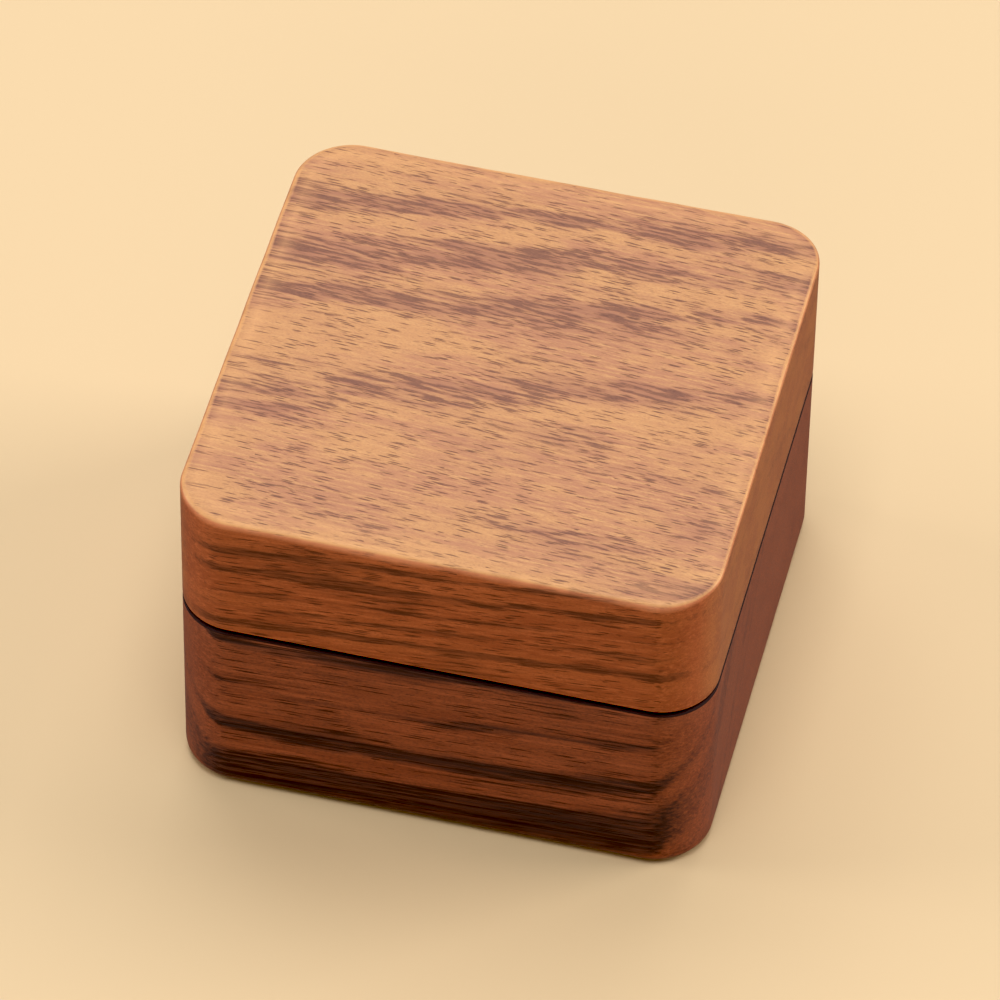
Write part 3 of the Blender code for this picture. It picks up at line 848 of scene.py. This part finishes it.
SCREW_SINK = 0.05
SLOT_WIDTH = 0.3
SLOT_DEPTH = 0.3
SLOT_REACH = 1.5
SLOT_TURNS = {"lower": {"left": -5, "right": 45}, "upper": {"left": 55, "right": 105}}
SCREW_HEAD_RADIUS = 0.95
SCREW_HEAD_BAND = 0.12
SCREW_CONE_END = 0.5
SCREW_SHANK_RADIUS = 0.55
SCREW_POINT = 0.9
SCREW_TIP_RADIUS = 0.05
SCREW_HOLE_LENGTH = 4.0
PIN_RADIUS = 0.65
PIN_HEAD_RADIUS = 0.85
PIN_HEAD_LENGTH = 0.3
PIN_CROWN = ((0.0, 0.35), (0.06, 0.65), (0.16, PIN_HEAD_RADIUS))
HOLE_GAP = 0.1
BORE_REACH = 20.0
KNUCKLE_SPLIT = 4.0
KNUCKLE_GAP = 0.3
TAB_INSET = 0.1
TAB_OVERLAP = 0.5
EDGE_EASE = 0.06
EASE_ANGLE = math.radians(40)
EASE_STEPS = 3
MAGNET_EASE = 0.25
BRASS = {"color": (0.80, 0.58, 0.26), "tarnish": (0.50, 0.31, 0.12), "roughness": 0.28}
NICKEL = {"color": (0.62, 0.60, 0.57), "tarnish": (0.42, 0.39, 0.35), "roughness": 0.34}


def lathe(name, profile, origin, axis, body=None, slot=None):
    """A solid turned about an axis through origin, from a profile of (distance along, radius) pairs.

    The first and last radius are the ones that close the ends.
    """
    turn = Vector((0, 0, 1)).rotation_difference(Vector(axis)).to_matrix()
    loops = []
    for along, radius in profile:
        loops.append([
            Vector(origin) + turn @ Vector((
                radius * math.cos(2 * math.pi * i / ROUND_SIDES),
                radius * math.sin(2 * math.pi * i / ROUND_SIDES), along,
            ))
            for i in range(ROUND_SIDES)
        ])
    vertices, faces = skin(loops)
    return make_object(name, vertices, faces, body, slot)


def eased(radius, low, high, ease):
    """The profile of a disc whose two edges are rounded."""
    edge = []
    for k in range(EASE_STEPS + 1):
        angle = math.pi / 2 * k / EASE_STEPS
        edge.append((ease * (1 - math.cos(angle)), radius - ease * (1 - math.sin(angle))))
    return [(low + depth, r) for depth, r in edge] + [(high - depth, r) for depth, r in reversed(edge)]


def build_magnets(material):
    for level, body in (("base", "base_body"), ("lid", "lid_body")):
        for side in ("left", "right"):
            node = f"{level}_magnet_{side}"
            low, high = corners(node)
            origin = ((low.x + high.x) / 2, (low.y + high.y) / 2, 0)
            profile = eased((high.x - low.x) / 2, low.z, high.z, MAGNET_EASE)
            magnet = lathe(f"{node}_disc", profile, origin, (0, 0, 1), body, "nickel")
            finish_metal(magnet, material, node)


def finish_metal(obj, material, *nodes):
    obj.data.materials.append(material)
    smooth(obj)
    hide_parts(*nodes)


def screw_profile(reach, grow=0.0):
    """A countersunk screw from its head, at 0, to its point; grow makes the hole for one instead."""
    tip = reach + grow
    return [
        (SCREW_SINK - grow * 4, SCREW_HEAD_RADIUS - EDGE_EASE + grow),
        (SCREW_SINK + EDGE_EASE, SCREW_HEAD_RADIUS + grow),
        (SCREW_SINK + SCREW_HEAD_BAND, SCREW_HEAD_RADIUS + grow),
        (SCREW_CONE_END + grow, SCREW_SHANK_RADIUS + grow),
        (tip - SCREW_POINT, SCREW_SHANK_RADIUS + grow),
        (tip, SCREW_TIP_RADIUS),
    ]


def build_screws(material):
    for level, body, sign in (("lower", "base_body", -1), ("upper", "lid_body", 1)):
        rim = SEAM if sign < 0 else RIM
        for side, turn in SLOT_TURNS[level].items():
            node = f"hinge_screw_{level}_{side}"
            low, high = corners(node)
            x, y = (low.x + high.x) / 2, (low.y + high.y) / 2
            reach = rim - low.z if sign < 0 else high.z - rim
            screw = lathe(f"{node}_turned", screw_profile(reach), (x, y, rim), (0, 0, sign), body, "brass")
            levels = sorted((rim - sign, rim + sign * SLOT_DEPTH))
            slot = block_cutter(
                (-SLOT_REACH, -SLOT_WIDTH / 2, levels[0]), (SLOT_REACH, SLOT_WIDTH / 2, levels[1])
            )
            slot.matrix_world = (
                Matrix.Translation(Vector((x, y, 0)) * MM) @ Matrix.Rotation(math.radians(turn), 4, "Z")
            )
            bpy.context.view_layer.update()
            combine(screw, [slot])
            finish_metal(screw, material, node)


def leaf_plate(name, rim, into_wood, spans):
    """The leaf's flat plate, with a tab to the axis at each knuckle."""
    low, high = corners(name)
    axis = hinge_axis()
    outer = axis.y - KNUCKLE_RADIUS - COVE_GAP
    bottom, top = sorted((rim, rim + into_wood * LEAF_THICKNESS))
    plate = block_cutter((low.x, low.y, bottom), (high.x, outer, top))
    tabs = [
        block_cutter((x0 + TAB_INSET, outer - TAB_OVERLAP, bottom), (x1 - TAB_INSET, axis.y, top))
        for x0, x1 in spans
    ]
    return plate, tabs


def ease_edges(obj, width):
    bevel = obj.modifiers.new("ease", "BEVEL")
    bevel.width = width * MM
    bevel.segments = 2
    bevel.limit_method = "ANGLE"
    bevel.angle_limit = EASE_ANGLE
    apply_modifiers(obj)


def build_leaves(material):
    axis = hinge_axis()
    low, high = corners("hinge_leaf_upper")
    split, past = KNUCKLE_SPLIT, KNUCKLE_SPLIT + KNUCKLE_GAP
    spans = {"upper": [(-split, split)], "lower": [(low.x, -past), (past, high.x)]}
    for level, body, rim, into_wood in (("lower", "base_body", SEAM, -1), ("upper", "lid_body", RIM, 1)):
        node = f"hinge_leaf_{level}"
        leaf, tabs = leaf_plate(node, rim, into_wood, spans[level])
        leaf.name = f"{node}_plate"
        knuckles = [
            rod("knuckle", (x0, axis.y, axis.z), (x1, axis.y, axis.z), KNUCKLE_RADIUS)
            for x0, x1 in spans[level]
        ]
        combine(leaf, tabs + knuckles, "UNION")
        ends = [(x, axis.y, axis.z) for x in (-BORE_REACH, BORE_REACH)]
        cutters = [rod("bore", *ends, PIN_RADIUS + HOLE_GAP)]
        for side in ("left", "right"):
            screw_low, screw_high = corners(f"hinge_screw_{level}_{side}")
            x, y = (screw_low.x + screw_high.x) / 2, (screw_low.y + screw_high.y) / 2
            profile = screw_profile(SCREW_HOLE_LENGTH, METAL_GAP)
            cutters.append(lathe("hole", profile, (x, y, rim), (0, 0, into_wood)))
        combine(leaf, cutters)
        ease_edges(leaf, EDGE_EASE)
        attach(leaf, body)
        finish_metal(leaf, material, node)


def build_pin(material):
    low, high = corners("hinge_pin")
    axis = hinge_axis()
    inner = high.x - PIN_HEAD_LENGTH
    crown = [(high.x - drop, radius) for drop, radius in PIN_CROWN]
    half = crown + [(inner, PIN_HEAD_RADIUS), (inner, PIN_RADIUS)]
    profile = [(-x, r) for x, r in half] + [(x, r) for x, r in reversed(half)]
    pin = lathe("hinge_pin_turned", profile, (0, axis.y, axis.z), (1, 0, 0), "base_body", "brass")
    finish_metal(pin, material, "hinge_pin")


def metal(name, color, tarnish, roughness):
    """Plated or bare metal with handling marks, fine scratches and a little tarnish."""
    s = Shader(name)
    place = s.coordinates()
    cloud = s.noise(place, 0.5, 4.0, 0.6)
    scratches = s.noise(place, (0.7, 14.0, 14.0), 3.0, 0.7)
    color = s.mix(s.remap(cloud, 0.42, 0.7, 0.0, 0.7), color, tarnish)
    s.set("Base Color", color)
    s.set("Metallic", 1.0)
    rough = s.math("MULTIPLY_ADD", cloud, 0.2, roughness - 0.1)
    s.set("Roughness", s.math("MULTIPLY_ADD", scratches, 0.12, rough))
    s.bump(scratches, 0.006)
    return s.material


def build_fittings():
    brass = metal("brass", **BRASS)
    nickel = metal("nickel", **NICKEL)
    build_magnets(nickel)
    build_leaves(brass)
    build_screws(brass)
    build_pin(brass)


# ---------------------------------------------------------------- linings

LINING_RADIUS = 5.2
SLOT_RADIUS = 3.4
ROLL_START_DROP = 0.5
ROLL_ROUND = 3.4
ROLL_FOOT_ROUND = 0.5
ROLL_GLUED = 1.2
PAD_START_DROP = 0.5
PAD_ROUND = 0.8
PAD_BACK_ROUND = 0.2
PAD_GLUED = 0.4
SIDE_GAP = 0.15
SWELL_ROOM = 0.3
CLOSING_SHRINKS = (0.8, 0.5)
SIM_SCALE = 20.0
SIM_FRAMES = 20
VOXEL = 0.75
PRESSURE = 4.0
SWELL_CAP = 0.5
PLEAT_DEPTH = 0.32
PLEAT_PITCH = 2.3
PLEAT_START = 6.0
PLEAT_RISE = 4.0
HOLLOW_DEPTH = 0.12
WELT_RADIUS = 0.24
WELT_INSET = 2.3
WELT_STEPS = 60
WELT_CENTRE = 3.0
ROLL_RAY_START = 40.0
PAD_RAY_START = 10.0
VELVET_TONES = ((0.60, 0.50, 0.37), (0.74, 0.65, 0.51))
VELVET_DEEP = (0.36, 0.28, 0.19)
VELVET_SHEEN_TINT = (1.0, 0.96, 0.88, 1)
BOARD_TONES = ((0.34, 0.31, 0.27), (0.45, 0.42, 0.37))
BOARD_FIBRE = (0.20, 0.17, 0.14)


def closed_pad(name, centre_y, half_x, half_y, radii, low, high, foot, crown, scale):
    """A rounded block to be blown up, foot and crown being its lower and upper edges' radii."""
    outline = rounded_outline(half_x, half_y, radii)
    under = list(reversed(arc(outline, foot, low, -1)))
    over = arc(outline, crown, high, 1)
    closing = list(reversed(shrunk(under[0], CLOSING_SHRINKS)))
    loops = closing + under + over + shrunk(over[-1], CLOSING_SHRINKS)
    vertices, faces = skin([[(x, y + centre_y, z) for x, y, z in points] for points, crest in loops])
    return make_object(name, [Vector(v) * scale for v in vertices], faces)


def remesh(obj, size):
    modifier = obj.modifiers.new("voxels", "REMESH")
    modifier.mode = "VOXEL"
    modifier.voxel_size = size
    apply_modifiers(obj)


def inflate(obj, held_level, held_below):
    """Blows the pad up with cloth simulation, with the side that is glued down held still."""
    group = obj.vertex_groups.new(name="glued")
    sign = 1 if held_below else -1
    glued = [v.index for v in obj.data.vertices if (held_level * MM - v.co.z) * sign > 0]
    group.add(glued, 1.0, "REPLACE")
    cloth = obj.modifiers.new("cloth", "CLOTH")
    settings = cloth.settings
    settings.quality = 6
    settings.mass = 0.3
    settings.tension_stiffness = 12
    settings.compression_stiffness = 12
    settings.bending_stiffness = 0.4
    settings.shrink_min = -0.03
    settings.use_pressure = True
    settings.uniform_pressure_force = PRESSURE
    settings.effector_weights.gravity = 0.0
    settings.vertex_group_mass = "glued"
    cloth.point_cache.frame_start = 1
    cloth.point_cache.frame_end = SIM_FRAMES
    for frame_number in range(1, SIM_FRAMES + 1):
        bpy.context.scene.frame_set(frame_number)
    graph = bpy.context.evaluated_depsgraph_get()
    swollen = [v.co.copy() for v in obj.evaluated_get(graph).data.vertices]
    obj.modifiers.clear()
    bpy.context.scene.frame_set(1)
    cap = SWELL_CAP * MM * SIM_SCALE
    for vert, target in zip(obj.data.vertices, swollen):
        move = target - vert.co
        if move.length > cap:
            move = move.normalized() * cap
        vert.co += move


def soft_pad(name, centre_y, half_x, half_y, radii, low, high, foot, crown, held_level, held_below):
    """A pad in its real size, inflated at a bigger scale, where the cloth solver is steady."""
    pad = closed_pad(name, centre_y, half_x, half_y, radii, low, high, foot, crown, SIM_SCALE)
    remesh(pad, VOXEL * MM * SIM_SCALE)
    inflate(pad, held_level * SIM_SCALE, held_below)
    pad.data.transform(Matrix.Scale(1 / SIM_SCALE, 4))
    return pad


def keep_inside(obj, low, high):
    """Holds a pad's points within a box, as the pocket's walls and its glued side do."""
    for vert in obj.data.vertices:
        for axis in range(3):
            vert.co[axis] = min(max(vert.co[axis], low[axis] * MM), high[axis] * MM)


def refine(obj):
    subdivide = obj.modifiers.new("subdivide", "SUBSURF")
    subdivide.levels = 1
    subdivide.render_levels = 1
    apply_modifiers(obj)
    obj.data.shade_smooth()


def pleat_ends(obj, side, half_x):
    """Gathers the velvet where it is folded in at a roll's two ends, and leaves soft hollows between."""
    obj.data.update()
    moves = []
    for vert in obj.data.vertices:
        x, y, z = vert.co / MM
        reach = max(0.0, min(1.0, (abs(x) - half_x + PLEAT_START) / PLEAT_RISE))
        reach = reach * reach * (3 - 2 * reach)
        wander = noise.noise(Vector((y * 0.35, x * 0.1, side * 7.0)))
        groove = max(0.0, math.cos(2 * math.pi * y / PLEAT_PITCH + 2.6 * wander)) ** 3
        hollow = noise.noise(Vector((x * 0.13, y * 0.16, side * 3.0 + z * 0.1)))
        moves.append(-vert.normal * (PLEAT_DEPTH * reach * groove + HOLLOW_DEPTH * hollow) * MM)
    for vert, move in zip(obj.data.vertices, moves):
        vert.co += move
    obj.data.update()


def surface_hits(obj, rays):
    """Where rays, as (origin, way) pairs in millimetres, meet a mesh."""
    tree = bvhtree.BVHTree.FromPolygons(
        [v.co / MM for v in obj.data.vertices], [tuple(p.vertices) for p in obj.data.polygons]
    )
    hits = [tree.ray_cast(Vector(origin), Vector(way)) for origin, way in rays]
    return [(place, normal) for place, normal, index, distance in hits if place]


def welt(name, hits, body, material, closed=False):
    """A piped seam that lies on a pad, half sunk into it."""
    curve = bpy.data.curves.new(name, "CURVE")
    curve.dimensions = "3D"
    curve.bevel_depth = WELT_RADIUS * MM
    curve.bevel_resolution = 3
    curve.use_fill_caps = True
    spline = curve.splines.new("POLY")
    spline.points.add(len(hits) - 1)
    for point, (place, normal) in zip(spline.points, hits):
        point.co = (*(place * MM), 1)
    spline.use_cyclic_u = closed
    drawn = bpy.data.objects.new(name, curve)
    bpy.context.scene.collection.objects.link(drawn)
    graph = bpy.context.evaluated_depsgraph_get()
    mesh = bpy.data.meshes.new_from_object(drawn.evaluated_get(graph))
    bpy.data.objects.remove(drawn)
    obj = bpy.data.objects.new(name, mesh)
    bpy.context.scene.collection.objects.link(obj)
    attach(obj, body)
    mesh.materials.append(material)
    mesh.shade_smooth()


def build_roll(place, side, material):
    """One half of the ring pad: velvet over a foam roll, gathered at its ends and piped."""
    node = f"ring_pad_velvet_{place}"
    low, high = corners(node)
    centre_y = (low.y + high.y) / 2
    half_x, half_y = high.x, (high.y - low.y) / 2
    outer, slot = LINING_RADIUS, SLOT_RADIUS
    radii = (slot, slot, outer, outer) if side < 0 else (outer, outer, slot, slot)
    room = (low, high + Vector((0, 0, SWELL_ROOM)))
    roll = soft_pad(
        f"ring_pad_roll_{place}", centre_y, half_x - SIDE_GAP, half_y - SIDE_GAP, radii,
        low.z, high.z - ROLL_START_DROP, ROLL_FOOT_ROUND, ROLL_ROUND, low.z + ROLL_GLUED, True,
    )
    keep_inside(roll, *room)
    refine(roll)
    pleat_ends(roll, side, half_x)
    keep_inside(roll, *room)
    roll.data.materials.append(material)
    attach(roll, "base_body")
    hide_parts(node, f"ring_pad_foam_{place}")
    for end, x in (("left", low.x + WELT_INSET), ("right", high.x - WELT_INSET)):
        rays = []
        for k in range(WELT_STEPS + 1):
            angle = math.pi * k / WELT_STEPS
            way = Vector((0, math.cos(angle), math.sin(angle)))
            rays.append((Vector((x, centre_y, low.z + WELT_CENTRE)) + way * ROLL_RAY_START, -way))
        welt(f"ring_pad_seam_{place}_{end}", surface_hits(roll, rays), "base_body", material)


def build_lid_pad(material):
    """The cushion under the lid's roof, with a piped line round it."""
    node = "lid_pad_velvet"
    low, high = corners(node)
    pad = soft_pad(
        "lid_pad_cushion", 0.0, high.x - SIDE_GAP, high.y - SIDE_GAP, (LINING_RADIUS,) * 4,
        low.z + PAD_START_DROP, high.z, PAD_ROUND, PAD_BACK_ROUND, high.z - PAD_GLUED, False,
    )
    keep_inside(pad, low - Vector((0, 0, SWELL_ROOM)), high)
    refine(pad)
    pad.data.materials.append(material)
    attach(pad, "lid_body")
    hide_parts(node, "lid_pad_foam")
    outline = rounded_square(high.x - WELT_INSET, LINING_RADIUS - WELT_INSET / 2)
    rays = [((place.x, place.y, low.z - PAD_RAY_START), (0, 0, 1)) for place, normal in outline]
    welt("lid_pad_seam", surface_hits(pad, rays), "lid_body", material, closed=True)


def velvet():
    """Short cream pile that is lighter where it has been brushed the other way."""
    s = Shader("velvet")
    place = s.coordinates()
    brushed = s.noise(place, (0.10, 0.16, 0.16), 3.0, 0.55, 0.6)
    pile = s.noise(place, 6.0, 3.0, 0.7)
    color = s.mix(s.remap(brushed, 0.35, 0.65), *VELVET_TONES)
    color = s.mix(s.remap(pile, 0.35, 0.6, 0.35, 0.0), color, VELVET_DEEP)
    s.set("Base Color", color)
    s.set("Roughness", s.remap(brushed, 0.3, 0.7, 0.96, 0.84))
    s.set("Specular IOR Level", 0.15)
    s.set("Sheen Weight", 0.55)
    s.set("Sheen Roughness", 0.35)
    s.set("Sheen Tint", VELVET_SHEEN_TINT)
    s.bump(pile, 0.09)
    return s.material


def grey_board():
    """Pressed board: grey, with darker and lighter fibres."""
    s = Shader("grey_board")
    place = s.coordinates()
    cloud = s.noise(place, 0.7, 3.0, 0.6)
    fibres = s.noise(place, (1.6, 6.0, 4.0), 3.0, 0.7, 1.0)
    color = s.mix(s.remap(cloud, 0.3, 0.7), *BOARD_TONES)
    color = s.mix(s.remap(fibres, 0.55, 0.75, 0.0, 0.6), color, BOARD_FIBRE)
    s.set("Base Color", color)
    s.set("Roughness", s.remap(fibres, 0.3, 0.7, 0.95, 0.8))
    s.bump(fibres, 0.03)
    return s.material


def build_linings():
    cloth = velvet()
    build_roll("front", -1, cloth)
    build_roll("rear", 1, cloth)
    build_lid_pad(cloth)
    board = grey_board()
    for node in ("ring_pad_board", "lid_pad_board"):
        frame["nodes"][node].data.materials.clear()
        frame["nodes"][node].data.materials.append(board)


build_camera()
build_lights()
build_world()
build_floor()
build_shells()
build_fittings()
build_linings()
